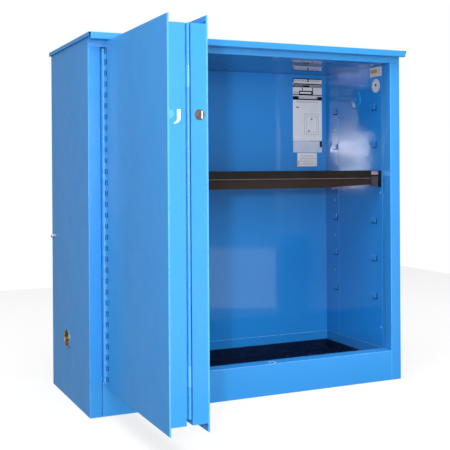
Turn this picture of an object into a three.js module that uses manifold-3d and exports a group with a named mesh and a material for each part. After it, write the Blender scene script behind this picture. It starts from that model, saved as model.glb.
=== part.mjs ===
// Safety cabinet for flammable liquids: a double-walled steel box with one shelf, spill
// trays, two vents and a two-leaf folding door that stands open at the left.
// Millimetres, +Z up. Shapes are laid out in cabinet coordinates: x from the outer left
// side, y back from the front face of the frame, z up from the floor. The outermost group
// moves them so that the origin is on the floor at the centre of the footprint, and the
// front faces -Y.
import * as THREE from "three";
import { mergeVertices } from "three/addons/utils/BufferGeometryUtils.js";
import Module from "manifold-3d";

const wasm = await Module();
wasm.setup();

// ---- cabinet ----
const WIDTH = 1092;
const DEPTH = 457;
const HEIGHT = 1118;
const SHEET = 1.5; // outer sheet and frame
const LINER = 1.2; // inner sheet
const GAP = 0.3; // between neighbouring pieces
const WALL = 38; // air space between the shells, and the width of a stile
const RAIL_DEPTH = 48; // front frame, front to back
const SILL_TOP = 100;
const HEADER_BOTTOM = 1078;
const LINER_BACK = DEPTH - WALL; // front face of the inner back wall
const LID_FRONT = 35; // how far the lid reaches past the body
const LID_SIDE = 5;
const LID_BACK = 10;
const LID_LIP = 21;
const LID_SKIRT = 13;
const LIP_RETURN = 10;

// ---- vents and ground screw ----
const VENT_R = 24; // clear bore
const VENT_LOW = { y: 257, z: 189 };
const VENT_HIGH = { y: 213, z: 971 };
const GROUND = { y: 444, z: 500 };

// ---- shelf supports, shelf and trays ----
const TAB_COLUMNS = [100, 353];
const TAB_LOWEST = 272;
const TAB_PITCH = 132;
const TAB_ROWS = 6;
const TAB_REACH = 5;
const TAB_HEIGHT = 14;
const TAB_WIDTH = 28;
const SHELF_TAB = TAB_LOWEST + 3 * TAB_PITCH; // the row of tabs that carries the shelf
const SHELF_TOP = 713;
const SHELF_FRONT = 53.5;
const SHELF_BACK = 412;
const SHELF_DROP = 57; // top of the tray to the lowest edge of the front flange
const SHELF_TAPER = 220; // length of the rise of that edge towards each end
const SKIRT = 25; // tray rim turned down over the shelf
const TRAY_WALL = 3;
const SUMP_FLOOR = 28.5;
const SUMP_TRAY_TOP = 69;

// ---- folding door ----
const HINGE_X = 43; // frame hinge axis
const HINGE_Y = -10.5;
const HINGE_R = 4.5;
const FACE_Y = -5; // outer face of the closed door
const LEAF_W = 504;
const LEAF_T = 45;
const LEAF_START = 5.2; // hinge axis to the edge of the first leaf
const EDGE_GAP = 2; // meeting edge to the fold axis
const FOLD_V = 52.5; // fold axis behind the outer face
const FOLD_R = 3.75;
const OVERLAP = 16; // skin past the opening, top and bottom
const PAN_INSET = 5.5; // pan clear of the opening, top and bottom
const FREE_INSET = 12; // pan short of the free edge
const HEM = 14;
const LEAF_L = LEAF_START + LEAF_W + EDGE_GAP; // frame hinge axis to fold axis
const AXIS_OFF = FACE_Y - HINGE_Y; // hinge axis in front of the outer face
const SKIN_BOTTOM = SILL_TOP - OVERLAP;
const SKIN_TOP = HEADER_BOTTOM + OVERLAP;
const PAN_BOTTOM = SILL_TOP + PAN_INSET;
const PAN_TOP = HEADER_BOTTOM - PAN_INSET;
const KNUCKLES = 18; // per hinge, shared by its two leaves

// ---- latch in the second leaf ----
const LATCH_U = 61; // from the fold axis
const LATCH_Z = 852.5;
const ROD_ARM = 10; // each rod beside the cam's centre
const ROD_V = 22;
const ROD_R = 4;
const ROD_HOLE_R = 8;

const SIDES = 24; // round pieces
const halfTurn = Math.PI;

// ---- solids ----

function toSolid(geometry) {
  const bare = geometry.clone();
  bare.deleteAttribute("normal");
  bare.deleteAttribute("uv");
  const merged = mergeVertices(bare);
  const mesh = new wasm.Mesh({
    numProp: 3,
    vertProperties: Float32Array.from(merged.attributes.position.array),
    triVerts: Uint32Array.from(merged.index.array),
  });
  return new wasm.Manifold(mesh);
}

function toGeometry(solid) {
  const mesh = solid.getMesh();
  const geometry = new THREE.BufferGeometry();
  geometry.setAttribute("position", new THREE.BufferAttribute(mesh.vertProperties, 3));
  geometry.setIndex(new THREE.BufferAttribute(mesh.triVerts, 1));
  geometry.computeVertexNormals();
  return geometry;
}

function box([x0, x1], [y0, y1], [z0, z1]) {
  const geometry = new THREE.BoxGeometry(x1 - x0, y1 - y0, z1 - z0);
  geometry.translate((x0 + x1) / 2, (y0 + y1) / 2, (z0 + z1) / 2);
  return toSolid(geometry);
}

// A round solid about a line along the given axis through (p, q), the other two
// coordinates in x, y, z order. The outline is a list of [radius, distance along] points.
function turned(outline, axis, [p, q], sides = SIDES) {
  const points = outline.map(([radius, along]) => new THREE.Vector2(radius, along));
  const geometry = new THREE.LatheGeometry(points, sides);
  if (axis === "x") {
    geometry.rotateZ(-halfTurn / 2);
    geometry.translate(0, p, q);
  } else if (axis === "y") {
    geometry.translate(p, 0, q);
  } else {
    geometry.rotateX(halfTurn / 2);
    geometry.translate(p, q, 0);
  }
  return toSolid(geometry);
}

function cylinder(radius, [from, to], axis, centre, sides = SIDES) {
  return turned([[0, from], [radius, from], [radius, to], [0, to]], axis, centre, sides);
}

function ring(outer, inner, [from, to], axis, centre, sides = SIDES) {
  const outline = [[inner, from], [outer, from], [outer, to], [inner, to], [inner, from]];
  return turned(outline, axis, centre, sides);
}

// A flat outline in x and z, given thickness along y.
function plateXZ(outline, [y0, y1]) {
  const shape = new THREE.Shape(outline.map(([x, z]) => new THREE.Vector2(x, z)));
  const geometry = new THREE.ExtrudeGeometry(shape, { depth: y1 - y0, bevelEnabled: false });
  geometry.rotateX(halfTurn / 2);
  geometry.translate(0, y1, 0);
  return toSolid(geometry);
}

// A flat outline in y and z, given thickness along x.
function plateYZ(outline, [x0, x1]) {
  const shape = new THREE.Shape(outline.map(([y, z]) => new THREE.Vector2(y, z)));
  const geometry = new THREE.ExtrudeGeometry(shape, { depth: x1 - x0, bevelEnabled: false });
  geometry.rotateX(halfTurn / 2);
  geometry.rotateZ(halfTurn / 2);
  geometry.translate(x0, 0, 0);
  return toSolid(geometry);
}

function join(first, ...others) {
  return others.reduce((whole, piece) => whole.add(piece), first);
}

function cut(whole, ...tools) {
  return tools.reduce((rest, tool) => rest.subtract(tool), whole);
}

// A tub open at the top with an outward rim.
function tub([x0, x1], [y0, y1], [z0, z1], wall, rim) {
  const body = box([x0, x1], [y0, y1], [z0, z1]);
  const lip = box([x0 - rim, x1 + rim], [y0 - rim, y1 + rim], [z1 - wall, z1]);
  const well = box([x0 + wall, x1 - wall], [y0 + wall, y1 - wall], [z0 + wall, z1 + 1]);
  return cut(rim > 0 ? body.add(lip) : body, well);
}

// ---- finishes ----

function finish(color, roughness, metalness) {
  return () => new THREE.MeshStandardMaterial({ color, roughness, metalness });
}

const bluePaint = finish(0x4a96e0, 0.35, 0.1);
const insidePaint = finish(0x2f74bd, 0.3, 0.1);
const blackPlastic = finish(0x101014, 0.45, 0);
const blackPaint = finish(0x221e1c, 0.5, 0.1);
const brass = finish(0xb58a3c, 0.35, 0.9);
const steel = finish(0xb9bcc0, 0.35, 0.9);
const nickel = finish(0xd4d6da, 0.2, 1);
const nylon = finish(0xe2e0d8, 0.5, 0);

const cabinet = new THREE.Group();
cabinet.position.set(-WIDTH / 2, -DEPTH / 2, 0);

function piece(name, solid, material, parent = cabinet) {
  const mesh = new THREE.Mesh(toGeometry(solid), material());
  mesh.name = name;
  parent.add(mesh);
}

// ---- outer shell ----

function mirrorX([x0, x1]) {
  return [WIDTH - x1, WIDTH - x0];
}

function sidePanel(name, xs, holes) {
  const top = HEIGHT - SHEET - GAP;
  const sheet = box(xs, [SHEET + GAP, DEPTH - SHEET - GAP], [0, top]);
  piece(name, cut(sheet, ...holes), bluePaint);
}

function outerShell() {
  const left = [0, SHEET];
  const right = mirrorX(left);
  const bore = VENT_R + 3.5;
  const lowHole = cylinder(bore, [-5, 5], "x", [VENT_LOW.y, VENT_LOW.z]);
  const groundHole = cylinder(3.6, [-5, 5], "x", [GROUND.y, GROUND.z], 12);
  const highHole = cylinder(bore, [WIDTH - 5, WIDTH + 5], "x", [VENT_HIGH.y, VENT_HIGH.z]);
  sidePanel("side_panel_left", left, [lowHole, groundHole]);
  sidePanel("side_panel_right", right, [highHole]);
  const sheetTop = HEIGHT - SHEET - GAP;
  piece("back_panel", box([0, WIDTH], [DEPTH - SHEET, DEPTH], [0, sheetTop]), bluePaint);
  const inX = [SHEET + GAP, WIDTH - SHEET - GAP];
  const inY = [SHEET + GAP, DEPTH - SHEET - GAP];
  piece("bottom_panel", box(inX, inY, [0, SHEET]), bluePaint);
}

function topCap() {
  const xs = [-LID_SIDE, WIDTH + LID_SIDE];
  const ys = [-LID_FRONT, DEPTH + LID_BACK];
  const skirt = [HEIGHT - LID_SKIRT, HEIGHT];
  const lipBottom = HEIGHT - LID_LIP;
  const cap = join(
    box(xs, ys, [HEIGHT - SHEET, HEIGHT]),
    box(xs, [ys[0], ys[0] + SHEET], [lipBottom, HEIGHT]),
    box(xs, [ys[0], ys[0] + LIP_RETURN], [lipBottom, lipBottom + SHEET]),
    box(xs, [ys[1] - SHEET, ys[1]], skirt),
    box([xs[0], xs[0] + SHEET], ys, skirt),
    box([xs[1] - SHEET, xs[1]], ys, skirt),
  );
  piece("top_cap", cap, bluePaint);
}

// ---- front frame ----

// Where a rod of the closed door enters the frame.
function rodHole(side, zs) {
  const x = HINGE_X + LEAF_L + LATCH_U + side * ROD_ARM;
  return cylinder(ROD_HOLE_R, zs, "z", [x, FACE_Y + ROD_V]);
}

function frontFrame() {
  const openX = [WALL, WIDTH - WALL];
  const lip = [RAIL_DEPTH - SHEET, RAIL_DEPTH];
  const header = join(
    box([0, WIDTH], [0, SHEET], [HEADER_BOTTOM, HEIGHT - SHEET - GAP]),
    box(openX, [0, RAIL_DEPTH], [HEADER_BOTTOM, HEADER_BOTTOM + SHEET]),
    box(openX, lip, [HEADER_BOTTOM, HEADER_BOTTOM + 20]),
  );
  const holeUp = rodHole(1, [HEADER_BOTTOM - 5, HEADER_BOTTOM + 5]);
  piece("header_rail", cut(header, holeUp), bluePaint);

  const sillX = [WALL + GAP, WIDTH - WALL - GAP];
  const sill = join(
    box(sillX, [0, SHEET], [0, SILL_TOP]),
    box(sillX, [0, RAIL_DEPTH], [SILL_TOP - SHEET, SILL_TOP]),
    box(sillX, lip, [SILL_TOP - 20, SILL_TOP]),
  );
  const holeDown = rodHole(-1, [SILL_TOP - 5, SILL_TOP + 5]);
  piece("sill_rail", cut(sill, holeDown), bluePaint);

  const top = HEADER_BOTTOM - GAP;
  const foot = SHEET + GAP;
  const stile = (turn) => join(
    box(turn([0, WALL]), [0, SHEET], [0, top]),
    box(turn([WALL - SHEET, WALL]), [0, RAIL_DEPTH], [foot, top]),
    box(turn([WALL - 14, WALL]), lip, [foot, top]),
  );
  piece("stile_left", stile((xs) => xs), bluePaint);
  piece("stile_right", stile(mirrorX), bluePaint);
}

// ---- inner shell ----

// One lanced shelf tab: a pressed bump with a flat top edge, on the wall at x = 0.
function shelfTab(y, z, wallX, inward) {
  const outline = [[0, 0], [TAB_REACH, 5], [TAB_REACH, TAB_HEIGHT], [0, TAB_HEIGHT]];
  const across = outline.map(([out, up]) => [wallX + inward * (out - 0.4), z + up]);
  const ordered = inward > 0 ? across : across.reverse();
  return plateXZ(ordered, [y - TAB_WIDTH / 2, y + TAB_WIDTH / 2]);
}

function linerSide(name, xs, wallX, inward, hole) {
  let wall = box(xs, [RAIL_DEPTH + GAP, LINER_BACK - GAP], [SILL_TOP + GAP, HEADER_BOTTOM - GAP]);
  for (const y of TAB_COLUMNS) {
    for (let row = 0; row < TAB_ROWS; row += 1) {
      wall = wall.add(shelfTab(y, TAB_LOWEST + row * TAB_PITCH, wallX, inward));
    }
  }
  piece(name, cut(wall, hole), insidePaint);
}

function innerShell() {
  const bore = VENT_R + 3.5;
  const left = [WALL - LINER, WALL];
  const right = mirrorX(left);
  const lowHole = cylinder(bore, [WALL - 6, WALL + 6], "x", [VENT_LOW.y, VENT_LOW.z]);
  const highX = WIDTH - WALL;
  const highHole = cylinder(bore, [highX - 6, highX + 6], "x", [VENT_HIGH.y, VENT_HIGH.z]);
  linerSide("liner_left", left, WALL, 1, lowHole);
  linerSide("liner_right", right, highX, -1, highHole);
  const wide = [WALL - LINER, WIDTH - WALL + LINER];
  const back = [LINER_BACK, LINER_BACK + LINER];
  piece("liner_back", box(wide, back, [SILL_TOP + GAP, HEADER_BOTTOM - GAP]), insidePaint);
  const ceilingY = [RAIL_DEPTH + GAP, LINER_BACK + LINER];
  const ceiling = box(wide, ceilingY, [HEADER_BOTTOM, HEADER_BOTTOM + LINER]);
  piece("liner_ceiling", ceiling, insidePaint);
  const sumpY = [RAIL_DEPTH + GAP, LINER_BACK + LINER];
  const sump = tub([WALL, WIDTH - WALL], sumpY, [SUMP_FLOOR, SILL_TOP], SHEET, 0);
  piece("sump_pan", sump, insidePaint);
}

// ---- vents ----

// outX is the outer face, inX the inner face of the double wall; out is -1 on the left.
function vent(side, outX, inX, out, { y, z }) {
  const at = [y, z];
  const span = (a, b) => (a < b ? [a, b] : [b, a]);
  const face = outX + out * GAP;
  piece(`vent_boss_${side}`, ring(35.5, 30.8, span(face, face + out * 2.5), "x", at), bluePaint);
  const tube = join(
    ring(30.4, VENT_R, span(face, face + out * 3.5), "x", at),
    ring(VENT_R + 3, VENT_R, span(face + out * 1, inX + out * 1), "x", at),
  );
  piece(`vent_bush_${side}`, tube, brass);
  const screenX = outX - out * 9;
  const screen = cylinder(VENT_R - GAP, span(screenX, screenX - out * 5), "x", at);
  piece(`flame_screen_${side}`, screen, brass);
  const inner = inX - out * GAP;
  const cap = turned(capOutline(inner, -out), "x", at);
  piece(`vent_cap_${side}`, cap, bluePaint);
}

// Pressed round cover with a raised centre; inward is the way it stands off the wall.
function capOutline(x, inward) {
  const steps = [[0, 0], [35, 0], [35, 1.5], [30, 4], [9, 4], [7, 8], [0, 8]];
  const outline = steps.map(([radius, out]) => [radius, x + inward * out]);
  return inward > 0 ? outline : outline.reverse();
}

function vents() {
  vent("low", 0, WALL, -1, VENT_LOW);
  vent("high", WIDTH, WIDTH - WALL, 1, VENT_HIGH);
}

function groundScrew() {
  const at = [GROUND.y, GROUND.z];
  piece("ground_washer", ring(9.5, 3.6, [-1.8, -GAP], "x", at, 16), steel);
  const screw = join(
    cylinder(6, [-7, -2.1], "x", at, 6),
    cylinder(3, [-2.1, 14], "x", at, 12),
  );
  piece("ground_screw", screw, steel);
  const nut = cylinder(6, [SHEET + GAP, SHEET + 6], "x", at, 6);
  piece("ground_nut", cut(nut, cylinder(3.4, [0, 10], "x", at, 12)), steel);
}

// ---- shelf, clips and trays ----

function shelfClip(name, turn, y) {
  const ys = [y - 13, y + 13];
  const reach = WALL + TAB_REACH + GAP;
  const tabTop = SHELF_TAB + TAB_HEIGHT + GAP;
  const clip = join(
    box(turn([reach, reach + SHEET]), ys, [SHELF_TAB - 2.5, tabTop + SHEET]),
    box(turn([WALL + GAP, reach + SHEET]), ys, [tabTop, tabTop + SHEET]),
    box(turn([reach, reach + 17]), ys, [SHELF_TAB - 2.5, SHELF_TAB - 1]),
  );
  piece(name, clip, steel);
}

function shelf() {
  const inset = WALL + TAB_REACH + GAP + SHEET + 0.8;
  const xs = [inset, WIDTH - inset];
  const ys = [SHELF_FRONT + TRAY_WALL + GAP, SHELF_BACK - TRAY_WALL - GAP];
  const endZ = SHELF_TAB - 0.6;
  const deckTop = SHELF_TOP - SKIRT - 2;
  const low = SHELF_TOP - SHELF_DROP;
  const flange = [
    [xs[0], deckTop],
    [xs[0], endZ],
    [xs[0] + SHELF_TAPER, low],
    [xs[1] - SHELF_TAPER, low],
    [xs[1], endZ],
    [xs[1], deckTop],
  ];
  const body = join(
    box(xs, ys, [deckTop - SHEET, deckTop]),
    box([xs[0], xs[0] + SHEET], ys, [endZ, deckTop]),
    box([xs[1] - SHEET, xs[1]], ys, [endZ, deckTop]),
    plateXZ(flange, [ys[0], ys[0] + SHEET]),
    plateXZ(flange, [ys[1] - SHEET, ys[1]]),
  );
  piece("shelf", body, blackPaint);
}

function shelfTray() {
  const xs = [WALL + 2.5, WIDTH - WALL - 2.5];
  const ys = [SHELF_FRONT, SHELF_BACK];
  const rim = TRAY_WALL + 0.6;
  const floorZ = SHELF_TOP - SKIRT - 2 + GAP;
  const outer = box(xs, ys, [SHELF_TOP - SKIRT, SHELF_TOP]);
  const under = box(
    [xs[0] + rim, xs[1] - rim],
    [ys[0] + rim, ys[1] - rim],
    [SHELF_TOP - SKIRT - 1, SHELF_TOP - TRAY_WALL],
  );
  const tubX = [xs[0] + rim + 5, xs[1] - rim - 5];
  const tubY = [ys[0] + rim + 5, ys[1] - rim - 5];
  const body = join(cut(outer, under), box(tubX, tubY, [floorZ, SHELF_TOP]));
  const well = box(
    [tubX[0] + TRAY_WALL, tubX[1] - TRAY_WALL],
    [tubY[0] + TRAY_WALL, tubY[1] - TRAY_WALL],
    [floorZ + TRAY_WALL, SHELF_TOP + 1],
  );
  piece("shelf_tray", cut(body, well), blackPlastic);
}

function shelfAndTrays() {
  TAB_COLUMNS.forEach((y, index) => {
    const place = ["front", "rear"][index];
    shelfClip(`shelf_clip_left_${place}`, (xs) => xs, y);
    shelfClip(`shelf_clip_right_${place}`, mirrorX, y);
  });
  shelf();
  shelfTray();
  const clear = WALL + SHEET + 6;
  const trayX = [clear, WIDTH - clear];
  const trayY = [RAIL_DEPTH + SHEET + 8, LINER_BACK - 8];
  const trayZ = [SUMP_FLOOR + SHEET + GAP, SUMP_TRAY_TOP];
  piece("sump_tray", tub(trayX, trayY, trayZ, TRAY_WALL, 4), blackPlastic);
}

// ---- continuous hinges ----

// A leaf of a continuous hinge. The plate runs away from the axis along s and lies at a
// distance t to one side of it; place maps ranges in (s, t) to ranges in x and y.
// Every second knuckle belongs to this leaf. plate is a list of [s range, t range].
function hingeLeaf(place, axis, radius, bore, zs, first, plate) {
  const length = (zs[1] - zs[0]) / KNUCKLES;
  const [, tNear] = plate[0];
  const slabs = plate.map(([s, t]) => box(...place(s, t), zs));
  let leaf = join(...slabs);
  for (let i = first; i < KNUCKLES; i += 2) {
    const z = [zs[0] + i * length + 0.25, zs[0] + (i + 1) * length - 0.25];
    const knuckle = join(
      ring(radius, bore, z, "z", axis, 12),
      cut(box(...place([0, radius + 1], tNear), z), cylinder(bore + 0.2, z, "z", axis, 12)),
    );
    leaf = leaf.add(knuckle);
  }
  return leaf;
}

function frameHinge() {
  const zs = [SILL_TOP + 4, HEADER_BOTTOM - 5];
  const axis = [HINGE_X, HINGE_Y];
  const t = [HINGE_R - 1.3, HINGE_R + 0.2];
  const onJamb = (s, off) => [[HINGE_X - off[1], HINGE_X - off[0]], [HINGE_Y + s[0], HINGE_Y + s[1]]];
  const onDoor = (s, off) => [[HINGE_X + s[0], HINGE_X + s[1]], [HINGE_Y - off[1], HINGE_Y - off[0]]];
  const plate = [[[HINGE_R + 0.5, HINGE_R + 40], t]];
  const frameLeaf = hingeLeaf(onJamb, axis, HINGE_R, 2.8, zs, 0, plate);
  const doorLeaf = hingeLeaf(onDoor, axis, HINGE_R, 2.8, zs, 1, plate);
  piece("frame_hinge_leaf", frameLeaf, bluePaint);
  piece("door_hinge_leaf", doorLeaf, bluePaint);
  piece("frame_hinge_pin", cylinder(2.3, zs, "z", axis, 12), steel);
}

const foldX = HINGE_X + AXIS_OFF + FOLD_V; // fold axis with the door open
const foldY = HINGE_Y - LEAF_L;

function foldHinge() {
  const zs = [SILL_TOP + 22, HEADER_BOTTOM - 6];
  const axis = [foldX, foldY];
  const near = [FOLD_R - 1.25, FOLD_R + 0.25];
  const face = FOLD_V - LEAF_T - GAP; // axis to the door's inner face
  const foot = [face - SHEET, face];
  const plate = [
    [[FOLD_R + 0.5, 9], near],
    [[9 - SHEET, 9], [near[0], face]],
    [[9 - SHEET, 36], foot],
  ];
  const toFirst = (s, t) => [[foldX - t[1], foldX - t[0]], [foldY + s[0], foldY + s[1]]];
  const toSecond = (s, t) => [[foldX + t[0], foldX + t[1]], [foldY + s[0], foldY + s[1]]];
  const firstLeaf = hingeLeaf(toFirst, axis, FOLD_R, 2.3, zs, 0, plate);
  const secondLeaf = hingeLeaf(toSecond, axis, FOLD_R, 2.3, zs, 1, plate);
  piece("fold_hinge_leaf_a", firstLeaf, bluePaint);
  piece("fold_hinge_leaf_b", secondLeaf, bluePaint);
  piece("fold_hinge_pin", cylinder(1.8, zs, "z", axis, 12), steel);
}

// ---- door leaves ----

// Each leaf is laid out in its own coordinates: u along its width from its pivot, v in
// from the outer face, z up. The groups turn them to where the open door holds them.
const leafA = new THREE.Group();
leafA.position.set(HINGE_X + AXIS_OFF, HINGE_Y, 0);
leafA.rotation.z = -halfTurn / 2;
cabinet.add(leafA);
const leafB = new THREE.Group();
leafB.position.set(foldX + FOLD_V, foldY, 0);
leafB.rotation.z = halfTurn / 2;
cabinet.add(leafB);

// Outer sheet with its top and bottom edges folded back into open hems.
function leafSkin([u0, u1]) {
  const fold = [2 * SHEET, 3 * SHEET];
  const plate = box([u0, u1], [0, SHEET], [SKIN_BOTTOM, SKIN_TOP]);
  const edges = [
    [SKIN_BOTTOM, SKIN_BOTTOM + SHEET, SKIN_BOTTOM + HEM],
    [SKIN_TOP, SKIN_TOP - SHEET, SKIN_TOP - HEM],
  ];
  const span = (a, b) => (a < b ? [a, b] : [b, a]);
  const hems = edges.map(([edge, turn, end]) => join(
    box([u0, u1], [0, fold[1]], span(edge, turn)),
    box([u0, u1], fold, span(edge, end)),
  ));
  return join(plate, ...hems);
}

// Inner tray of a leaf, open towards the skin.
function leafPan([u0, u1]) {
  const zs = [PAN_BOTTOM, PAN_TOP];
  const outer = box([u0, u1], [SHEET + GAP, LEAF_T], zs);
  const inner = box(
    [u0 + LINER, u1 - LINER],
    [0, LEAF_T - LINER],
    [zs[0] + LINER, zs[1] - LINER],
  );
  return cut(outer, inner);
}

function firstLeaf() {
  const span = [LEAF_START, LEAF_START + LEAF_W];
  piece("leaf_a_skin", leafSkin(span), bluePaint, leafA);
  piece("leaf_a_pan", leafPan(span), bluePaint, leafA);
  // Bent striker plate that presses the latch trigger when the leaves come into line.
  const face = span[1] + GAP;
  const striker = [
    [21.5, 842], [32.5, 842], [32.5, 864], [21.5, 864],
  ];
  const tail = [[15, 828], [20, 827], [30, 838], [32.5, 846], [21.5, 846], [20.5, 840]];
  const bar = plateYZ(striker, [face, face + 1.2]);
  piece("trigger_striker", bar.add(plateYZ(tail, [face, face + 1.2])), nickel, leafA);
}

function secondLeaf() {
  const span = [EDGE_GAP, EDGE_GAP + LEAF_W];
  const dishU = [LATCH_U - 31, LATCH_U + 31];
  const dishZ = [LATCH_Z - 60, LATCH_Z + 60];
  const clear = (range, by) => [range[0] - by, range[1] + by];
  const opening = box(clear(dishU, 0.5), [-5, 3 * SHEET], clear(dishZ, 0.5));
  piece("leaf_b_skin", cut(leafSkin(span), opening), bluePaint, leafB);

  const triggerHole = cylinder(10.3, [0, 6], "x", [ROD_V, LATCH_Z]);
  const guideHoles = [
    cylinder(7.3, [PAN_TOP - 4, PAN_TOP + 4], "z", [LATCH_U + ROD_ARM, ROD_V]),
    cylinder(7.3, [PAN_BOTTOM - 4, PAN_BOTTOM + 4], "z", [LATCH_U - ROD_ARM, ROD_V]),
  ];
  const pan = leafPan([span[0], span[1] - FREE_INSET]);
  piece("leaf_b_pan", cut(pan, triggerHole, ...guideHoles), bluePaint, leafB);

  // Recessed dish for the paddle, with a flange over the skin.
  const dish = join(
    box(dishU, [-0.6, 14], dishZ),
    box(clear(dishU, 5), [-1.8, -GAP], clear(dishZ, 5)),
  );
  const hollow = box(clear(dishU, -SHEET), [-5, 14 - SHEET], clear(dishZ, -SHEET));
  piece("handle_dish", cut(dish, hollow), blackPaint, leafB);
  const lockZ = LATCH_Z + 43;
  const lock = ring(10, 7.3, [1, 14 - SHEET - GAP], "y", [LATCH_U, lockZ]);
  piece("lock_barrel", lock, nickel, leafB);
  const slot = box([LATCH_U - 0.8, LATCH_U + 0.8], [-1, 3], [lockZ - 4, lockZ + 4]);
  const plug = cylinder(7, [0, 14 - SHEET - GAP], "y", [LATCH_U, lockZ]);
  piece("key_plug", cut(plug, slot), nickel, leafB);

  // Paddle: a plate with a finger lip, hung from a pin across the dish.
  const pivotZ = LATCH_Z + 24;
  const pinY = 7;
  const paddleU = [LATCH_U - 24, LATCH_U + 24];
  const blade = join(
    box(paddleU, [1, 3.5], [LATCH_Z - 50, pivotZ]),
    box(paddleU, [1, 9], [LATCH_Z - 50, LATCH_Z - 47.5]),
    cylinder(4, paddleU, "x", [pinY, pivotZ], 16),
    box(paddleU, [1, pinY], [pivotZ - 3, pivotZ + 3]),
  );
  const pinHole = cylinder(1.9, clear(paddleU, 5), "x", [pinY, pivotZ], 12);
  piece("paddle", cut(blade, pinHole), blackPaint, leafB);
  const pinU = [dishU[0] + SHEET + GAP, dishU[1] - SHEET - GAP];
  piece("paddle_pin", cylinder(1.5, pinU, "x", [pinY, pivotZ], 12), steel, leafB);
}

// ---- latch inside the second leaf ----

function latch() {
  const camV = [ROD_V + ROD_R + 1, ROD_V + ROD_R + 4];
  const at = [LATCH_U, LATCH_Z];
  const cam = join(
    cylinder(9, camV, "y", at),
    box([LATCH_U - 17, LATCH_U + 17], camV, [LATCH_Z - 5, LATCH_Z + 5]),
  );
  const spindleHole = cylinder(3.4, [camV[0] - 3, camV[1] + 3], "y", at);
  piece("latch_cam", cut(cam, spindleHole), steel, leafB);
  const spindleV = [14 + GAP, LEAF_T - LINER - GAP];
  piece("cam_spindle", cylinder(3, spindleV, "y", at, 16), steel, leafB);

  const upper = [LATCH_U + ROD_ARM, ROD_V];
  const lower = [LATCH_U - ROD_ARM, ROD_V];
  piece("rod_upper", cylinder(ROD_R, [LATCH_Z - 8, PAN_TOP + 1.5], "z", upper, 16), steel, leafB);
  piece("rod_lower", cylinder(ROD_R, [PAN_BOTTOM - 1.5, LATCH_Z + 8], "z", lower, 16), steel, leafB);

  // Guide bushes: a sleeve through the end of the pan with a collar inside it.
  const bush = (sleeve, collar, centre) => join(
    ring(7, ROD_R + 0.4, sleeve, "z", centre),
    ring(10, ROD_R + 0.4, collar, "z", centre),
  );
  const top = PAN_TOP - LINER - GAP;
  const bottom = PAN_BOTTOM + LINER + GAP;
  piece("rod_guide_upper", bush([top - 8, PAN_TOP + 3], [top - 3, top], upper), nylon, leafB);
  piece("rod_guide_lower", bush([PAN_BOTTOM - 3, bottom + 8], [bottom, bottom + 3], lower), nylon, leafB);

  // Trigger in the meeting edge.
  const edge = EDGE_GAP;
  const centre = [ROD_V, LATCH_Z];
  const bezel = join(
    ring(13.5, 7.5, [edge - 1.1, edge - GAP], "x", centre),
    ring(9.8, 7.5, [edge - 1, edge + 18], "x", centre),
  );
  piece("trigger_bezel", bezel, nickel, leafB);
  piece("trigger_button", cylinder(7.1, [edge - 1.9, edge + 16], "x", centre), nickel, leafB);
}

// ---- guide for the free edge, under the front of the lid ----

function guide() {
  const pin = [LEAF_L, -AXIS_OFF]; // mirror image of the frame hinge axis
  const tab = [SKIN_TOP + 0.3, SKIN_TOP + 2.2];
  const bracket = join(
    box([LEAF_L - 42, LEAF_L - 10], [-2.3, -GAP], [SKIN_TOP - 60, tab[1]]),
    box([LEAF_L - 42, LEAF_L + 7], [-13, -GAP], tab),
  );
  const pinHole = cylinder(2.8, [tab[0] - 3, tab[1] + 3], "z", pin, 16);
  piece("guide_bracket", cut(bracket, pinHole), steel, leafB);
  const stud = join(
    cylinder(4.5, [tab[0] - 2.5, tab[0] - GAP], "z", pin, 16),
    cylinder(2.5, [tab[0] - 1, HEIGHT - 4.7], "z", pin, 16),
  );
  piece("guide_pin", stud, steel, leafB);
  piece("guide_roller", ring(5.5, 2.9, [HEIGHT - 16, HEIGHT - 7], "z", pin, 16), nylon, leafB);

  const trackX = [145, 1081];
  const walls = [HINGE_Y - 7.5, HINGE_Y + 7.5];
  const roof = [HEIGHT - SHEET - GAP - 1.5, HEIGHT - SHEET - GAP];
  const track = join(
    box(trackX, walls, roof),
    box(trackX, [walls[0], walls[0] + 1.5], [HEIGHT - 18, roof[1]]),
    box(trackX, [walls[1] - 1.5, walls[1]], [HEIGHT - 18, roof[1]]),
  );
  piece("guide_track", track, steel);
}

outerShell();
topCap();
frontFrame();
innerShell();
vents();
groundScrew();
shelfAndTrays();
frameHinge();
foldHinge();
firstLeaf();
secondLeaf();
latch();
guide();

const root = new THREE.Group();
root.add(cabinet);
export default root;
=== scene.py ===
"""Looks of the flammable storage cabinet: camera, light, paint, folded sheet and small parts.

Lengths are millimetres in cabinet coordinates until point() turns them into the frame's
metres: x from the outer left side, y back from the front face, z up from the floor. A door
leaf has its own coordinates: u along it from its pivot, v in from its outer face, z up.
"""
import math

import bmesh
import bpy
from mathutils import Matrix, Vector


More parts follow.
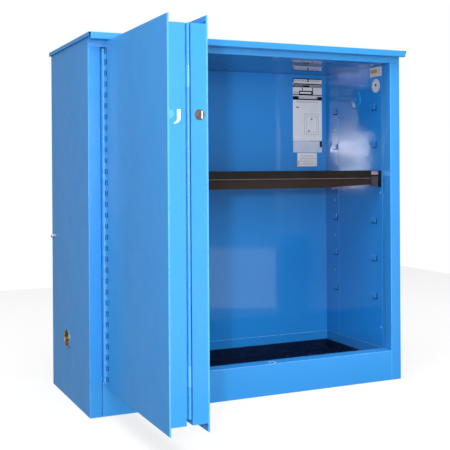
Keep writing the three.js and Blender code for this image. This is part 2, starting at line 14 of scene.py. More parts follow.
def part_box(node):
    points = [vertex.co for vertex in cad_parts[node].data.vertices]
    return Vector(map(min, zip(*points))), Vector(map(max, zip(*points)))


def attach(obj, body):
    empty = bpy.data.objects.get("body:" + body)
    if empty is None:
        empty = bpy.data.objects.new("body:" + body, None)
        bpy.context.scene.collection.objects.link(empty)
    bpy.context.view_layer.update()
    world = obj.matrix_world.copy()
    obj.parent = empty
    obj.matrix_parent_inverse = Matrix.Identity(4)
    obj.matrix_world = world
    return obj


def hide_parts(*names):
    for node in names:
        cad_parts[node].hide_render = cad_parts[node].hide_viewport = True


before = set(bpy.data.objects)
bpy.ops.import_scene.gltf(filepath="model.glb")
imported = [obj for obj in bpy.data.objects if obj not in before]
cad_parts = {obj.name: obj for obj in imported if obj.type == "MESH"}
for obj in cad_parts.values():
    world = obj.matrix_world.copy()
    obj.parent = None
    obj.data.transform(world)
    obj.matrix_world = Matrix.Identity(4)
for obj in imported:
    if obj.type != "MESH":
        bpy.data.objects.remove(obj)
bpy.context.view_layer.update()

scene = bpy.context.scene

MM = 0.001
LEFT_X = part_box("side_panel_left")[0].x
FRONT_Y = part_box("header_rail")[0].y


def span(node):
    """The x, y and z ranges of a CAD node, in cabinet millimetres."""
    low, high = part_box(node)
    offsets = (LEFT_X, FRONT_Y, 0.0)
    return [((a - o) / MM, (b - o) / MM) for a, b, o in zip(low, high, offsets)]


def point(x, y, z):
    return Vector((LEFT_X + x * MM, FRONT_Y + y * MM, z * MM))


# ---- sizes read from the frame ----

WIDTH = span("back_panel")[0][1]
HEIGHT = span("top_cap")[2][1]
WALL = span("stile_left")[0][1]  # width of a stile, and of the space between the shells
RAIL_DEPTH = span("stile_left")[1][1]
SILL_TOP = span("sill_rail")[2][1]
HEADER_BOTTOM = span("header_rail")[2][0]
LINER_BACK = span("liner_back")[1][0]
LEAF_A_FACE = span("leaf_a_skin")[0][0]
LEAF_B_FACE = span("leaf_b_skin")[0][1]
SKIN_BOTTOM, SKIN_TOP = span("leaf_a_skin")[2]
LEAF_NEAR = span("leaf_a_skin")[1][1]  # y of the leaf's edge beside the cabinet
LEAF_FAR = span("leaf_a_skin")[1][0]
SHEET = 1.5  # thickness of the outer sheets
LINER = 1.2  # thickness of the inner ones
FRAME_PIN = 2.3  # radii of the hinge pins
FOLD_PIN = 1.8
HINGE_X = span("frame_hinge_pin")[0][0] + FRAME_PIN
HINGE_Y = span("frame_hinge_pin")[1][0] + FRAME_PIN
FOLD_X = span("fold_hinge_pin")[0][0] + FOLD_PIN
FOLD_Y = span("fold_hinge_pin")[1][0] + FOLD_PIN


def leaf_a(u, v, z):
    return point(LEAF_A_FACE + v, HINGE_Y - u, z)


def leaf_b(u, v, z):
    return point(LEAF_B_FACE - v, FOLD_Y + u, z)


LEAF_START = HINGE_Y - LEAF_NEAR  # pivot to the leaf's edge
LEAF_END = HINGE_Y - LEAF_FAR
EDGE_GAP = LEAF_FAR - FOLD_Y

# ---- camera ----

LENS_MM = 68.85
SHIFT_Y = -0.1188
CAMERA_AT = point(-674.6, -2432.6, 720.1)
YAW, PITCH, ROLL = (math.radians(a) for a in (24.51, -0.14, 0.35))


def make_camera():
    flat = math.cos(PITCH)
    forward = Vector((math.sin(YAW) * flat, math.cos(YAW) * flat, math.sin(PITCH)))
    level = forward.cross(Vector((0, 0, 1))).normalized()
    upright = level.cross(forward)
    right = level * math.cos(ROLL) - upright * math.sin(ROLL)
    up = upright * math.cos(ROLL) + level * math.sin(ROLL)
    turn = Matrix((right, up, -forward)).transposed().to_4x4()
    data = bpy.data.cameras.new("photo_camera")
    data.lens = LENS_MM
    data.shift_y = SHIFT_Y
    camera = bpy.data.objects.new("photo_camera", data)
    camera.matrix_world = Matrix.Translation(CAMERA_AT) @ turn
    scene.collection.objects.link(camera)
    scene.camera = camera


# ---- light, floor and colour ----

WORLD_FILL = 0.32
FLOOR_HALF = 2.6
FLOOR_DROP = 0.0005  # keeps the floor clear of the cabinet's underside
PAPER_GREY = 0.22
PAPER_GLOW = 0.72


def area_light(name, at, aim, size, power, height=None):
    """size is the side of a square light, or the width of one with its own height."""
    data = bpy.data.lights.new(name, "AREA")
    data.shape = "RECTANGLE" if height else "SQUARE"
    data.size = size
    if height:
        data.size_y = height
    data.energy = power
    light = bpy.data.objects.new(name, data)
    light.location = at
    light.rotation_euler = (aim - at).to_track_quat("-Z", "Y").to_euler()
    light.visible_camera = False
    scene.collection.objects.link(light)
    return light


def make_world():
    """A weak even fill, and a white backdrop where the camera sees past the floor."""
    world = bpy.data.worlds.new("pale_studio")
    world.use_nodes = True
    tree = world.node_tree
    fill = tree.nodes["Background"]
    fill.inputs["Color"].default_value = (1, 1, 1, 1)
    fill.inputs["Strength"].default_value = WORLD_FILL
    backdrop = tree.nodes.new("ShaderNodeBackground")
    backdrop.inputs["Color"].default_value = (1, 1, 1, 1)
    choose = tree.nodes.new("ShaderNodeMixShader")
    path = tree.nodes.new("ShaderNodeLightPath")
    tree.links.new(path.outputs["Is Camera Ray"], choose.inputs[0])
    tree.links.new(fill.outputs[0], choose.inputs[1])
    tree.links.new(backdrop.outputs[0], choose.inputs[2])
    tree.links.new(choose.outputs[0], tree.nodes["World Output"].inputs["Surface"])
    scene.world = world
    scene.view_settings.view_transform = "Standard"


def make_light():
    """Soft studio light, a flash beside the camera and the light that the floor throws up."""
    centre = point(WIDTH / 2, 0, HEIGHT / 2)
    area_light("key_beside_camera", point(-872, -2450, 890), centre, 0.09, 30)
    flash = area_light("flash_reflection", point(-930, -2450, 790), centre, 0.21, 34, 0.42)
    flash.visible_diffuse = False
    area_light("front_softbox", point(-200, -4500, 1500), centre, 3.0, 105)
    area_light("top_softbox", point(0, -1200, 4000), point(300, -300, 0), 3.5, 225)
    area_light("left_softbox", point(-4000, -1500, 1500), centre, 3.0, 62)
    area_light("low_fill", point(-1800, -3000, 150), centre, 1.6, 27)
    side = area_light("right_fill", point(2700, -3500, 800), centre, 1.8, 30)
    side.visible_glossy = False
    card = area_light("floor_card", point(1537, -2511, 3), point(1537, -2511, 3000), 1.5, 17, 3.4)
    card.rotation_euler = (math.pi, 0, math.radians(28))


def make_floor():
    bm = bmesh.new()
    half = FLOOR_HALF
    corners = [(-half, -half), (half, -half), (half, half), (-half, half)]
    bm.faces.new([bm.verts.new((x, y, -FLOOR_DROP)) for x, y in corners])
    mesh = bpy.data.meshes.new("pale_floor")
    bm.to_mesh(mesh)
    floor = bpy.data.objects.new("pale_floor", mesh)
    scene.collection.objects.link(floor)
    paper = surface("pale_floor", (PAPER_GREY,) * 3, 0.9, spread=0.01, patch=0.7)
    glow = paper.node_tree.nodes["Principled BSDF"]
    glow.inputs["Emission Color"].default_value = (1, 1, 1, 1)
    glow.inputs["Emission Strength"].default_value = PAPER_GLOW
    mesh.materials.append(paper)
    floor.visible_diffuse = False
    floor.visible_glossy = False


# ---- materials ----

WORN_AND_LIT_WIDTH = 0.0018  # metres from an edge that count as worn and take the painted edge highlight


def surface(
    name, colour, roughness, metallic=0.0, gloss=0.5, spread=0.05, patch=3.0, vary=0.2,
    grain=0.0, grain_scale=500.0, stretch=(1, 1, 1), wave=0.0, wave_scale=7.0, edge=None, mottle=None,
):
    """A procedural material. gloss is the specular level, spread how far large patches go
    lighter and darker, and vary how far the roughness goes. grain and wave are the heights in
    metres of fine and broad bumps. edge is a (colour, amount) for paler edges: wear, and a
    painted highlight where edges catch the light. mottle is a (colour, scale, amount) for blotches."""
    made = bpy.data.materials.new(name)
    made.use_nodes = True
    tree = made.node_tree
    shader = tree.nodes["Principled BSDF"]
    shader.inputs["Metallic"].default_value = metallic
    shader.inputs["Specular IOR Level"].default_value = gloss
    place = tree.nodes.new("ShaderNodeTexCoord").outputs["Object"]

    def noise(scale, detail=3.0, where=place):
        node = tree.nodes.new("ShaderNodeTexNoise")
        node.inputs["Scale"].default_value = scale
        node.inputs["Detail"].default_value = detail
        tree.links.new(where, node.inputs["Vector"])
        return node.outputs["Fac"]

    def spread_to(value, low, high, from_low=0.3, from_high=0.7):
        node = tree.nodes.new("ShaderNodeMapRange")
        node.inputs["From Min"].default_value = from_low
        node.inputs["From Max"].default_value = from_high
        node.inputs["To Min"].default_value = low
        node.inputs["To Max"].default_value = high
        tree.links.new(value, node.inputs["Value"])
        return node.outputs["Result"]

    def blend(share, first, second):
        node = tree.nodes.new("ShaderNodeMix")
        node.data_type = "RGBA"
        for number, value in ((0, share), (6, first), (7, second)):
            socket = node.inputs[number]
            if isinstance(value, bpy.types.NodeSocket):
                tree.links.new(value, socket)
            else:
                socket.default_value = value
        return node.outputs[2]

    light = (*(min(1.0, c * (1 + spread) + spread * 0.01) for c in colour), 1)
    dark = (*(c * (1 - spread) for c in colour), 1)
    tint = blend(spread_to(noise(patch), 0, 1), dark, light)
    if mottle:
        other, scale, amount = mottle
        tint = blend(spread_to(noise(scale, 5.0), 0, amount, 0.45, 0.62), tint, (*other, 1))
    # Paler edges: wear, and a painted highlight where edges catch the light.
    if edge:
        other, amount = edge
        rim = tree.nodes.new("ShaderNodeBevel")
        rim.samples = 4
        rim.inputs["Radius"].default_value = WORN_AND_LIT_WIDTH
        flat = tree.nodes.new("ShaderNodeNewGeometry")
        dot = tree.nodes.new("ShaderNodeVectorMath")
        dot.operation = "DOT_PRODUCT"
        tree.links.new(rim.outputs["Normal"], dot.inputs[0])
        tree.links.new(flat.outputs["Normal"], dot.inputs[1])
        worn = spread_to(dot.outputs["Value"], amount, 0, 0.75, 0.99)
        tint = blend(worn, tint, (*other, 1))
    tree.links.new(tint, shader.inputs["Base Color"])
    roughest = min(1.0, roughness * (1 + vary))
    rough = spread_to(noise(patch * 4 + 5), roughness * (1 - vary), roughest)
    tree.links.new(rough, shader.inputs["Roughness"])

    normal = None
    for height, scale, share in ((wave, wave_scale, None), (grain, grain_scale, stretch)):
        if not height:
            continue
        where = place
        if share:
            mapping = tree.nodes.new("ShaderNodeMapping")
            mapping.inputs["Scale"].default_value = share
            tree.links.new(place, mapping.inputs["Vector"])
            where = mapping.outputs["Vector"]
        bump = tree.nodes.new("ShaderNodeBump")
        bump.inputs["Distance"].default_value = height
        tree.links.new(noise(scale, 1.0, where), bump.inputs["Height"])
        if normal:
            tree.links.new(normal, bump.inputs["Normal"])
        normal = bump.outputs["Normal"]
    if normal:
        tree.links.new(normal, shader.inputs["Normal"])
    return made


# A paler blue on edges: wear, and a painted edge highlight.
WORN_AND_LIT_BLUE = (0.10, 0.40, 0.85)
SHELL = surface(
    "blue_powder_coat", (0.022, 0.226, 0.585), 0.33, spread=0.025, patch=2.5, vary=0.12,
    grain=0.000012, grain_scale=350, wave=0.0001, wave_scale=3.5, edge=(WORN_AND_LIT_BLUE, 0.35),
)
INSIDE = surface(
    "blue_liner_coat", (0.015, 0.194, 0.545), 0.055, spread=0.04, patch=2.0,
    grain=0.00003, grain_scale=120, edge=(WORN_AND_LIT_BLUE, 0.3),
)
SIDE_WALL = surface(
    "blue_side_wall_coat", (0.013, 0.212, 0.600), 0.045, spread=0.04, patch=2.0,
    grain=0.00009, grain_scale=150, edge=(WORN_AND_LIT_BLUE, 0.3),
)
DULL_SHELL = surface(
    "blue_hinge_coat", (0.024, 0.235, 0.600), 0.55, spread=0.04, patch=9.0,
    grain=0.00002, grain_scale=500,
)
# A paler blue for small parts; on the frame's bends and the skins' turned edges it is a painted
# highlight.
PALE_PAINT = surface(
    "pale_blue_coat", (0.065, 0.31, 0.71), 0.30, spread=0.05, patch=12.0,
    grain=0.00005, grain_scale=600,
)
# A black liner whose navy tint is a painted reflection of the blue walls.
SUMP = surface(
    "black_liner_painted_reflection", (0.002, 0.009, 0.036), 0.25, spread=0.1, patch=4.0, vary=0.3,
    grain=0.00003, grain_scale=500, edge=((0.02, 0.03, 0.05), 0.4), gloss=0.2,
)
SHELF_PLATE = surface(
    "dull_end_plate", (0.19, 0.16, 0.18), 0.40, metallic=0.2, spread=0.12, patch=60.0,
    grain=0.00003, grain_scale=900,
)
SLATE = surface(
    "slate_label", (0.014, 0.014, 0.020), 0.4, spread=0.2, patch=60.0,
    grain=0.00002, grain_scale=900,
)
TRAY = surface(
    "black_polyethylene", (0.007, 0.0055, 0.005), 0.40, spread=0.2, patch=6.0, vary=0.3,
    grain=0.00008, grain_scale=900, edge=((0.05, 0.042, 0.038), 0.5), gloss=0.15,
)
BLACK = surface(
    "black_powder_coat", (0.014, 0.0085, 0.0065), 0.5, spread=0.15, patch=5.0, vary=0.25,
    grain=0.00010, grain_scale=700, edge=((0.07, 0.05, 0.04), 0.5), gloss=0.15,
)
BRASS = surface(
    "turned_brass", (0.62, 0.42, 0.16), 0.28, metallic=1.0, spread=0.12, patch=30.0,
    grain=0.00003, grain_scale=900, mottle=((0.30, 0.17, 0.06), 60.0, 0.5),
)
MESH = surface(
    "flame_screen_gauze", (0.07, 0.06, 0.04), 0.5, metallic=0.6, spread=0.3, patch=200.0,
    grain=0.0006, grain_scale=900,
)
ZINC = surface(
    "zinc_plate", (0.60, 0.62, 0.64), 0.33, metallic=1.0, spread=0.10, patch=25.0,
    grain=0.00003, grain_scale=1200, stretch=(1, 1, 0.15), mottle=((0.42, 0.43, 0.40), 90.0, 0.4),
)
NICKEL = surface(
    "bright_nickel", (0.74, 0.75, 0.77), 0.14, metallic=1.0, spread=0.04, patch=40.0,
    grain=0.00001, grain_scale=1500, edge=((0.92, 0.93, 0.95), 0.5),
)
LATCH_FACE = surface(
    "aged_nickel", (0.17, 0.145, 0.125), 0.34, metallic=1.0, spread=0.15, patch=60.0,
    grain=0.00002, grain_scale=1500, mottle=((0.09, 0.075, 0.065), 120.0, 0.5),
)
LATCH_RIM = surface(
    "dark_nickel", (0.13, 0.11, 0.10), 0.42, metallic=0.8, spread=0.15, patch=60.0,
    grain=0.00002, grain_scale=1500,
)
PALE_STEEL = surface(
    "pale_steel", (0.83, 0.90, 0.93), 0.38, metallic=0.25, spread=0.05, patch=50.0,
    grain=0.00002, grain_scale=1300, edge=((0.95, 0.97, 1.0), 0.5),
)
NYLON = surface(
    "natural_nylon", (0.72, 0.70, 0.63), 0.45, spread=0.05, patch=40.0,
    grain=0.00004, grain_scale=1200,
)
VINYL = surface(
    "white_vinyl", (0.63, 0.63, 0.645), 0.12, spread=0.03, patch=25.0,
    grain=0.00001, grain_scale=800,
)
FOIL = surface(
    "silver_label", (0.58, 0.60, 0.64), 0.3, metallic=0.7, spread=0.06, patch=40.0, vary=0.03,
    grain=0.00002, grain_scale=900,
)


def printed(name, colour, roughness, spread, patch, gloss=0.5):
    """A printed colour: almost smooth, with no worn edges."""
    return surface(
        name, colour, roughness, gloss=gloss, spread=spread, patch=patch, grain=0.00001, grain_scale=900,
    )


INK = printed("black_ink", (0.004, 0.004, 0.006), 0.5, 0.1, 60.0, gloss=0.08)
GREY_INK = printed("grey_ink", (0.33, 0.34, 0.37), 0.45, 0.12, 200.0)
FAINT_INK = printed("faint_ink", (0.55, 0.56, 0.60), 0.45, 0.08, 200.0)
ORANGE_INK = printed("orange_ink", (0.60, 0.27, 0.04), 0.4, 0.25, 150.0)
# Painted shade: a near-black sheet put in gaps, notches and openings where there is only shade.
PAINTED_SHADE = surface(
    "painted_shade", (0.003, 0.006, 0.015), 0.9, gloss=0.0, spread=0.3, patch=50.0,
    grain=0.00002, grain_scale=900,
)

# ---- mesh building ----


def slab(bm, xs, ys, zs, place=point, ink=0):
    """A block between two corners, with its faces given material number ink."""
    corners = [bm.verts.new(place(x, y, z)) for x in xs for y in ys for z in zs]
    sides = [(0, 1, 3, 2), (4, 6, 7, 5), (0, 4, 5, 1), (2, 3, 7, 6), (0, 2, 6, 4), (1, 5, 7, 3)]
    for side in sides:
        bm.faces.new([corners[i] for i in side]).material_index = ink


def extrude(bm, outline, ends, place, ink=0):
    """A closed outline of (p, q) points pushed from one end to the other; place(p, q, s)."""
    rows = [[bm.verts.new(place(p, q, s)) for p, q in outline] for s in ends]
    count = len(outline)
    for i in range(count):
        j = (i + 1) % count
        bm.faces.new([rows[0][i], rows[0][j], rows[1][j], rows[1][i]]).material_index = ink
    bm.faces.new(rows[0][::-1]).material_index = ink
    bm.faces.new(rows[1]).material_index = ink


def folded(path, thickness, radius, steps=5):
    """The outline of a folded sheet whose middle line is path, with round bends."""
    path = [Vector(p) for p in path]
    line = [path[0]]
    for before, corner, after in zip(path, path[1:], path[2:]):
        arriving = (corner - before).normalized()
        leaving = (after - corner).normalized()
        turn = arriving.angle_signed(leaving)
        reach = radius * math.tan(abs(turn) / 2)
        start = corner - arriving * reach
        side = Vector((arriving.y, -arriving.x)) * (1 if turn > 0 else -1)
        centre = start + side * radius
        for i in range(steps + 1):
            swing = Matrix.Rotation(-turn * i / steps, 2)
            line.append(centre + swing @ (start - centre))
    line.append(path[-1])
    left, right = [], []
    for i, here in enumerate(line):
        back = (here - line[i - 1]).normalized() if i else None
        ahead = (line[i + 1] - here).normalized() if i + 1 < len(line) else back
        back = back or ahead
        across = (back + ahead).normalized()
        normal = Vector((across.y, -across.x))
        offset = normal * thickness / 2 / max(0.3, across.dot(ahead))
        left.append(here + offset)
        right.append(here - offset)
    return [tuple(p) for p in left + right[::-1]]


def rounded(x0, x1, y0, y1, radius, steps=6):
    """A rectangle's outline with round corners."""
    corners = [(x1 - radius, y1 - radius, 0), (x0 + radius, y1 - radius, 1),
               (x0 + radius, y0 + radius, 2), (x1 - radius, y0 + radius, 3)]
    outline = []
    for x, y, quarter in corners:
        for i in range(steps + 1):
            angle = (quarter + i / steps) * math.pi / 2
            outline.append((x + radius * math.cos(angle), y + radius * math.sin(angle)))
    return outline


def lathe(bm, profile, place, sides=56, ink=0):
    """A closed profile of (radius, along) points turned about an axis; place(along, a, b)."""
    rings = []
    for radius, along in profile:
        if radius == 0:
            rings.append([bm.verts.new(place(along, 0, 0))])
            continue
        angles = [2 * math.pi * i / sides for i in range(sides)]
        rings.append([
            bm.verts.new(place(along, radius * math.cos(a), radius * math.sin(a))) for a in angles
        ])
    closed = profile[0][0] > 0
    pairs = list(zip(rings, rings[1:])) + ([(rings[-1], rings[0])] if closed else [])
    for first, second in pairs:
        for i in range(sides):
            j = (i + 1) % sides
            corners = [first[i % len(first)], first[j % len(first)],
                       second[j % len(second)], second[i % len(second)]]
            unique = list(dict.fromkeys(corners))
            if len(unique) > 2:
                bm.faces.new(unique).material_index = ink


def about_x(y, z):
    return lambda along, a, b: point(along, y + a, z + b)


def about_z(x, y):
    return lambda along, a, b: point(x + a, y + b, along)


def smooth(mesh, degrees=35):
    mesh.shade_smooth()
    mesh.set_sharp_from_angle(angle=math.radians(degrees))


def soften(obj, width, segments=2, weld=False):
    """Rounds sharp edges by width millimetres. A CAD node is welded first, because its faces
    don't share their corners."""
    if weld:
        obj.modifiers.new("weld", "WELD").merge_threshold = 0.00002
        flat = obj.modifiers.new("flat_faces", "DECIMATE")
        flat.decimate_type = "DISSOLVE"
        flat.angle_limit = math.radians(1)
    bevel = obj.modifiers.new("round_edges", "BEVEL")
    bevel.width = width * MM
    bevel.segments = segments
    bevel.limit_method = "ANGLE"
    bevel.angle_limit = math.radians(40)
    bevel.harden_normals = not weld


def build(name, bm, look, body, stands_for=(), bevel=0.0, cutters=()):
    """Turns a bmesh into a piece that rides on a body and takes the place of the CAD nodes
    that it stands for. look is a material or a list of them, and cutters are taken away."""
    bmesh.ops.recalc_face_normals(bm, faces=bm.faces)
    mesh = bpy.data.meshes.new(name)
    bm.to_mesh(mesh)
    bm.free()
    obj = bpy.data.objects.new(name, mesh)
    scene.collection.objects.link(obj)
    for material in look if isinstance(look, list) else [look]:
        mesh.materials.append(material)
    for cutter in cutters:
        cut(obj, cutter)
    smooth(obj.data)
    if bevel:
        soften(obj, bevel)
    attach(obj, body)
    if stands_for:
        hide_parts(*stands_for)


def cut(obj, cutter_bm):
    """Takes the cutter's shape away from obj's mesh."""
    bmesh.ops.recalc_face_normals(cutter_bm, faces=cutter_bm.faces)
    mesh = bpy.data.meshes.new("cutter")
    cutter_bm.to_mesh(mesh)
    cutter_bm.free()
    tool = bpy.data.objects.new("cutter", mesh)
    scene.collection.objects.link(tool)
    step = obj.modifiers.new("cut", "BOOLEAN")
    step.operation = "DIFFERENCE"
    step.object = tool
    step.solver = "EXACT"
    bpy.context.view_layer.update()
    result = obj.evaluated_get(bpy.context.evaluated_depsgraph_get())
    shaped = bpy.data.meshes.new_from_object(result)
    obj.modifiers.clear()
    obj.data = shaped
    bpy.data.objects.remove(tool)


def drum(radius, ends, place, sides=40):
    """A plain round cutter along an axis."""
    bm = bmesh.new()
    lathe(bm, [(0, ends[0]), (radius, ends[0]), (radius, ends[1]), (0, ends[1])], place, sides)
    return bm


# ---- front frame, lid and outer shell ----

BEND = 2.4  # bend radius of the frame's sheet
STILE_RETURN = 14
RAIL_RETURN = 20
ROD_HOLE = 8.0
SEAM = 0.3  # gap between the stiles and the header
BEND_LINE = 0.2  # how far the painted bend highlights stand off the sheet


def middle(pair):
    return (pair[0] + pair[1]) / 2


def rod_hole(node, z):
    """A cutter where a rod of the closed door enters the frame."""
    u = middle(span(node)[1]) - FOLD_Y
    v = LEAF_B_FACE - middle(span(node)[0])
    x = HINGE_X + (HINGE_Y - FOLD_Y) + u
    y = HINGE_Y + (LEAF_A_FACE - HINGE_X) + v
    return (x, y), drum(ROD_HOLE, (z - 6, z + 6), about_z(x, y))


def upright(name, turn):
    """A stile. turn(x) is x on the left side, and the same distance from the right edge on
    the right side."""
    half = SHEET / 2
    path = [(turn(0), half), (turn(WALL - half), half), (turn(WALL - half), RAIL_DEPTH - half),
            (turn(WALL - STILE_RETURN), RAIL_DEPTH - half)]
    bm = bmesh.new()
    extrude(bm, folded(path, SHEET, BEND), (0, HEADER_BOTTOM - SEAM), point)
    build(name, bm, SHELL, "cabinet", (name,), 0.3)


def rail(name, xs, edge, direction, hole):
    """The header or the sill: a front band that turns in at the opening and back on itself.
    direction is 1 where the band goes up from its edge, and -1 where it goes down."""
    half = SHEET / 2
    low, high = span(name)[2]
    far = high if direction > 0 else low
    level = edge + direction * half
    path = [(half, far), (half, level), (RAIL_DEPTH - half, level),
            (RAIL_DEPTH - half, edge + direction * RAIL_RETURN)]
    bm = bmesh.new()
    extrude(bm, folded(path, SHEET, BEND), xs, lambda p, q, s: point(s, p, q))
    build(name, bm, SHELL, "cabinet", (name,), 0.3, (hole,))


def front_frame():
    """Two stiles and two rails around the opening."""
    upright("stile_left", lambda x: x)
    upright("stile_right", lambda x: WIDTH - x)
    at_up, hole_up = rod_hole("rod_upper", HEADER_BOTTOM)
    at_down, hole_down = rod_hole("rod_lower", SILL_TOP)
    inner = (WALL + 0.05, WIDTH - WALL - 0.05)
    rail("header_rail", inner, HEADER_BOTTOM, 1, hole_up)
    rail("sill_rail", inner, SILL_TOP, -1, hole_down)
    ends = bmesh.new()
    for xs in ((0, WALL), (WIDTH - WALL, WIDTH)):
        slab(ends, xs, (0, SHEET), (HEADER_BOTTOM + SEAM, HEIGHT - 1.8))
    build("header_ends", ends, SHELL, "cabinet", (), 0.15)
    frame_bend_highlights()
    rings = bmesh.new()
    inside = ROD_HOLE + 0.1
    for (x, y), z, lean in ((at_up, HEADER_BOTTOM - 0.2, 1), (at_down, SILL_TOP + 0.2, -1)):
        worn = z + 0.15 * lean
        lathe(rings, [(inside, z), (11.5, z), (10.6, worn), (inside, worn)], about_z(x, y), 40)
    build("rod_rub_rings", rings, PALE_STEEL, "cabinet")


def frame_bend_highlights():
    """Paler strips on the bends of the stiles and the sill: a painted highlight where the bends catch
    the light.
    """
    inner = WIDTH - WALL
    ys = (-BEND_LINE, 1.2)
    bm = bmesh.new()
    for xs in ((-0.15, 1.9), (inner - 0.15, inner + 2.6)):
        slab(bm, xs, ys, (1.0, HEADER_BOTTOM - 0.4))
    slab(bm, (WALL + 0.1, inner - 0.1), ys, (SILL_TOP - 3.2, SILL_TOP + 0.15))
    build("stile_bend_highlights", bm, PALE_PAINT, "cabinet", (), 0.7)


LID_X = span("top_cap")[0]
LID_Y = span("top_cap")[1]
LID_LIP = 21  # height of the front lip
LID_SKIRT = 12  # height of the side and back skirts
LID_BEND = 1.9
LID_CORNER = 4.5  # the lip and the skirts stop this far short of the front corners


def lid():
    """The lid: a folded sheet from the back to the front lip, and a skirt along each side."""
    half = SHEET / 2

    def along_x(p, q, s):
        return point(s, p, q)

    front, back = LID_Y[0] + half, LID_Y[1] - half
    top = HEIGHT - half
    lip = HEIGHT - LID_LIP + half
    low = HEIGHT - LID_SKIRT
    bm = bmesh.new()
    path = [(back, low), (back, top), (front + 2.2, top)]
    extrude(bm, folded(path, SHEET, LID_BEND), LID_X, along_x)
    path = [(front + 3.4, top), (front, top), (front, lip), (front + 9.5, lip)]
    ends = (LID_X[0] + LID_CORNER, LID_X[1] - LID_CORNER)
    extrude(bm, folded(path, SHEET, LID_BEND), ends, along_x)
    start, end = LID_Y[0] + LID_CORNER, LID_Y[1]
    side = [(start, low + 1.5), (start + 1.5, low), (end - 9, low), (end - 5, low - 4),
            (end - 1, HEIGHT - 7), (end - 0.2, HEIGHT - 1.6), (start, HEIGHT - 1.6)]
    for xs in ((LID_X[0], LID_X[0] + SHEET), (LID_X[1] - SHEET, LID_X[1])):
        extrude(bm, side, xs, along_x)
    build("lid", bm, SHELL, "cabinet", ("top_cap",), 0.4)
    # A near-black block in each front corner gap of the lid: painted shade.
    corner_shade = bmesh.new()
    ys = (LID_Y[0] + 0.6, LID_Y[0] + 3.6)
    for x in (LID_X[0] + 0.3, LID_X[1] - LID_CORNER + 0.6):
        slab(corner_shade, (x, x + LID_CORNER - 0.9), ys, (HEIGHT - 7.5, HEIGHT - 2.0))
    build("lid_corner_painted_shade", corner_shade, PAINTED_SHADE, "cabinet", (), 0.3)


# ---- continuous hinges ----

FRAME_KNUCKLES = 61
FRAME_RADIUS = 4.5
FOLD_KNUCKLES = 37
FOLD_RADIUS = 3.75
SLEEVES = ((3, 4), (31, 32))  # pairs of knuckles with one plain sleeve in their place
HINGE_SHEET = 1.4
KNUCKLE_GAP = 0.4


def curled_leaf(name, body, place, radius, zs, count, first, plate, missing=()):
    """A hinge leaf: a plate with every second knuckle rolled round the pin, but for the
    missing ones. place(s, t, z) is s away from the axis along the plate and t to one side of
    it; plate is its middle line."""
    thick = HINGE_SHEET
    pitch = (zs[1] - zs[0]) / count
    bm = bmesh.new()
    start_s = plate[0][0]
    extrude(bm, folded(plate, thick, 1.4, 3), zs, place)
    ring_r = radius - thick / 2
    sweep = math.radians(300)
    steps = 14
    top = math.pi / 2
    arc = [
        (ring_r * math.cos(top + sweep * i / steps), ring_r * math.sin(top + sweep * i / steps))
        for i in range(steps + 1)
    ]
    curl = folded([(start_s + 0.2, plate[0][1]), (0, plate[0][1])] + arc[1:], thick, 0.01, 1)
    for i in range(first, count, 2):
        if i in missing:
            continue
        low = zs[0] + i * pitch + KNUCKLE_GAP / 2
        extrude(bm, curl, (low, low + pitch - KNUCKLE_GAP), place)
    build(name, bm, DULL_SHELL, body, (name,), 0.15)


def frame_hinge():
    """The hinge between the left stile and leaf A: knuckles by turns, and a leaf on each side."""
    zs = span("frame_hinge_pin")[2]
    line = FRAME_RADIUS - HINGE_SHEET / 2
    plate = [(FRAME_RADIUS + 0.6, line), (FRAME_RADIUS + 40, line)]

    def on_frame(s, t, z):
        return point(HINGE_X - t, HINGE_Y + s, z)

    def on_door(s, t, z):
        return point(HINGE_X + s, HINGE_Y - t, z)

    curled_leaf("frame_hinge_leaf", "cabinet", on_frame, FRAME_RADIUS, zs, FRAME_KNUCKLES, 0, plate)
    curled_leaf("door_hinge_leaf", "leaf_a", on_door, FRAME_RADIUS, zs, FRAME_KNUCKLES, 1, plate)


def fold_hinge():
    """The hinge between the two leaves of the door."""
    zs = span("fold_hinge_pin")[2]
    line = FOLD_RADIUS - HINGE_SHEET / 2
    step = 8.3  # where the plate steps in to the pan behind the skin
    face = 7.2 - SHEET / 2
    plate = [(FOLD_RADIUS + 0.6, line), (step, line), (step, face), (36, face)]
    missing = sum(SLEEVES, ())
    for name, body, first, side in (
        ("fold_hinge_leaf_a", "leaf_a", 0, -1),
        ("fold_hinge_leaf_b", "leaf_b", 1, 1),
    ):
        def place(s, t, z):
            return point(FOLD_X + side * t, FOLD_Y + s, z)

        curled_leaf(name, body, place, FOLD_RADIUS, zs, FOLD_KNUCKLES, first, plate, missing)


def fold_hinge_sleeves():
    """Two plain sleeves on the pin, each as long as two knuckles."""
    low, high = span("fold_hinge_pin")[2]
    pitch = (high - low) / FOLD_KNUCKLES
    outer = FOLD_RADIUS - 0.01
    bm = bmesh.new()
    for first, last in SLEEVES:
        start = low + first * pitch + 0.3
        end = low + (last + 1) * pitch - 0.3
        profile = [(2.0, start), (outer - 0.4, start), (outer, start + 0.5), (outer, end - 0.5),
                   (outer - 0.4, end), (2.0, end)]
        lathe(bm, profile, about_z(FOLD_X, FOLD_Y), 36)
    build("fold_hinge_sleeves", bm, PALE_PAINT, "leaf_a")


# ---- door leaves ----

HEM = 3.75  # from the skin's outer face to the middle of its folded-back edge
HEM_LENGTH = 14
NOTCH = 11.0  # how far the notches beside the frame hinge reach into leaf A's skin
DISH_RIM = 4.5


